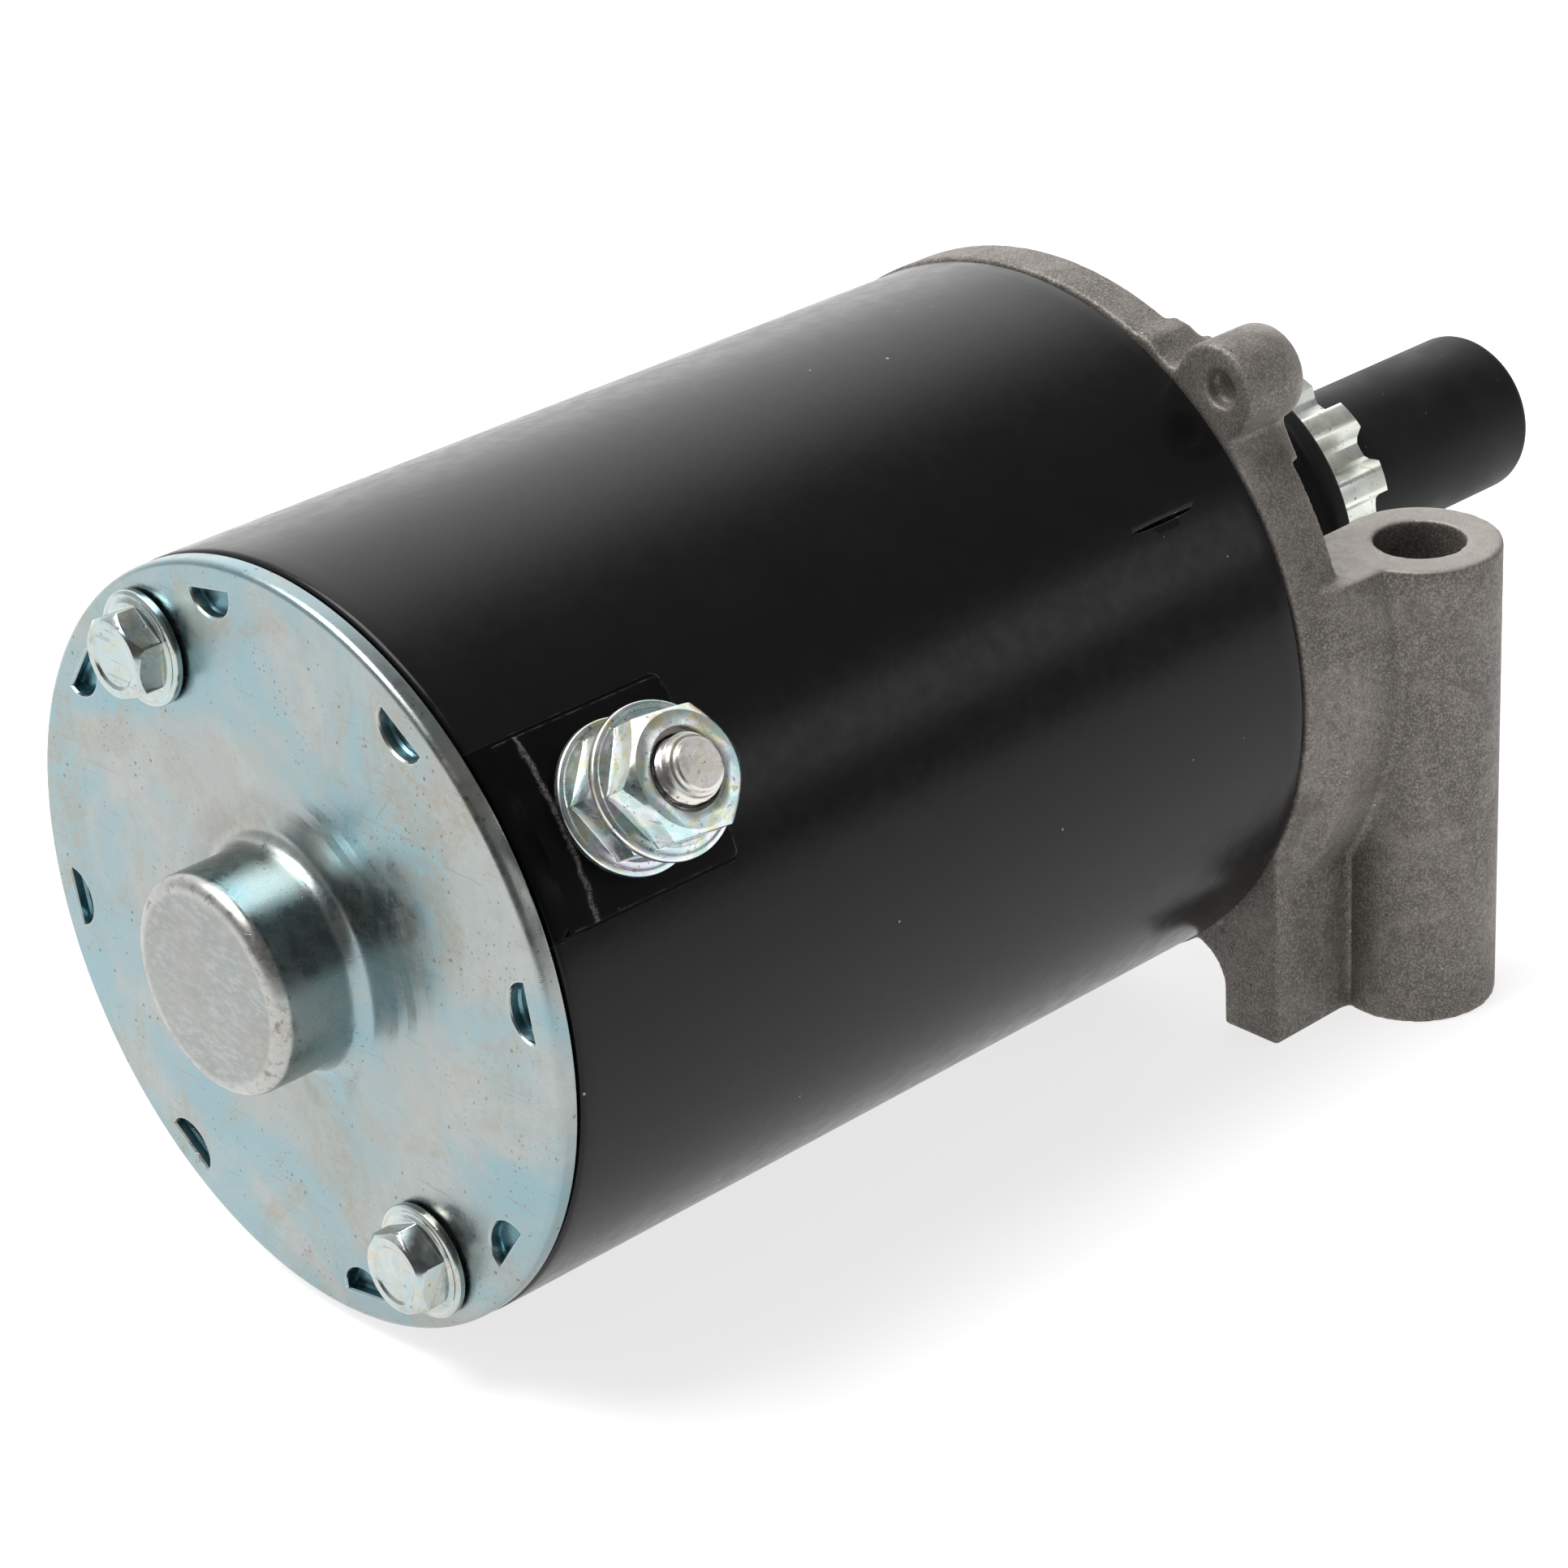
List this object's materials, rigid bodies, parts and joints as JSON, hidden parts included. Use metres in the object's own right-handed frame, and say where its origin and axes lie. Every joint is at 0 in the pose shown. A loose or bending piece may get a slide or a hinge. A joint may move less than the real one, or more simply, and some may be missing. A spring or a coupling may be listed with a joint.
{
  "type": "starter motor",
  "caption": "Small-engine starter motor: tubular black frame, zinc-plated end plate, threaded terminal, die-cast drive end with bolt bosses, and an inertia-drive pinion under a dust cap.",
  "frame": {"origin": "centre of the bounding box's base, level with the lower faces of the two mounting bosses", "axes": "+X along the shaft towards the pinion, +Z along the mounting bosses' bores towards the bolt heads, -Y on the terminal's side"},
  "size_m": [0.1804, 0.0896, 0.078],
  "materials": {
    "zinc_plate": "zinc plated, clear blue passivate",
    "black_enamel": "semi-gloss black enamel",
    "black_plastic": "moulded, matte",
    "cast_aluminium": "as die-cast and tumbled",
    "bright_steel": "machined",
    "spring_steel": "drawn wire",
    "laminated_iron": "stacked laminations",
    "ferrite": "ground ceramic magnet",
    "copper": "enamelled wire and turned copper",
    "carbon": "copper-graphite brush",
    "bronze": "sintered, oil filled",
    "brass": "folded sheet",
    "phenolic": "laminate board"
  },
  "bodies": {
    "housing": {"end_plate": "zinc_plate", "rear_bush": "bronze", "thru_bolt_1": "zinc_plate", "thru_bolt_2": "zinc_plate", "frame_tube": "black_enamel", "terminal_insulator": "black_plastic", "terminal_stud": "bright_steel", "terminal_nut_inner": "zinc_plate", "terminal_nut_outer": "zinc_plate", "brush_board": "phenolic", "brush_holder_1": "brass", "brush_holder_2": "brass", "brush_holder_3": "brass", "brush_holder_4": "brass", "brush_spring_1": "spring_steel", "brush_spring_2": "spring_steel", "brush_spring_3": "spring_steel", "brush_spring_4": "spring_steel", "magnet_1": "ferrite", "magnet_2": "ferrite", "magnet_3": "ferrite", "magnet_4": "ferrite", "drive_end_cap": "cast_aluminium", "front_bush": "bronze"},
    "armature": {"armature_shaft": "bright_steel", "rear_thrust_washer": "phenolic", "commutator": "copper", "armature_windings": "copper", "armature_core": "laminated_iron", "front_thrust_washer": "phenolic", "drive_thrust_washer": "bright_steel", "drive_sleeve": "bright_steel", "anti_drift_spring": "spring_steel", "stop_spacer": "bright_steel", "stop_nut": "zinc_plate"},
    "drive_carriage": {"dust_cap": "black_plastic", "dust_cap_spacer": "black_plastic"},
    "pinion_gear": {"pinion": "zinc_plate", "dust_disc": "black_plastic"},
    "brush_1_body": {"brush_1": "carbon"},
    "brush_2_body": {"brush_2": "carbon"},
    "brush_3_body": {"brush_3": "carbon"},
    "brush_4_body": {"brush_4": "carbon"}
  },
  "joints": [
    {"name": "armature_spin", "type": "hinge", "parent": "housing", "child": "armature", "pos_m": [0, 0, 0.0396], "axis": [1, 0, 0], "continuous": true},
    {"name": "pinion_advance", "type": "slide", "parent": "armature", "child": "drive_carriage", "axis": [1, 0, 0], "range_m": [0, 0.012], "stiffness_N_per_m": 350, "springref_m": -0.01, "deforming": ["anti_drift_spring"]},
    {"name": "pinion_twist", "type": "hinge", "parent": "drive_carriage", "child": "pinion_gear", "pos_m": [0.056, 0, 0.0396], "axis": [1, 0, 0], "range_deg": [0, 228]},
    {"name": "brush_1_slide", "type": "slide", "parent": "housing", "child": "brush_1_body", "axis": [0, -1, 0], "range_m": [0, 0.003], "stiffness_N_per_m": 600, "springref_m": -0.007, "deforming": ["brush_spring_1"]},
    {"name": "brush_2_slide", "type": "slide", "parent": "housing", "child": "brush_2_body", "axis": [0, 0, 1], "range_m": [0, 0.003], "stiffness_N_per_m": 600, "springref_m": -0.007, "deforming": ["brush_spring_2"]},
    {"name": "brush_3_slide", "type": "slide", "parent": "housing", "child": "brush_3_body", "axis": [0, 1, 0], "range_m": [0, 0.003], "stiffness_N_per_m": 600, "springref_m": -0.007, "deforming": ["brush_spring_3"]},
    {"name": "brush_4_slide", "type": "slide", "parent": "housing", "child": "brush_4_body", "axis": [0, 0, -1], "range_m": [0, 0.003], "stiffness_N_per_m": 600, "springref_m": -0.007, "deforming": ["brush_spring_4"]}
  ],
  "couplings": [
    {"joint": "pinion_twist", "follows": "pinion_advance", "rad_per_m": 330.69}
  ]
}
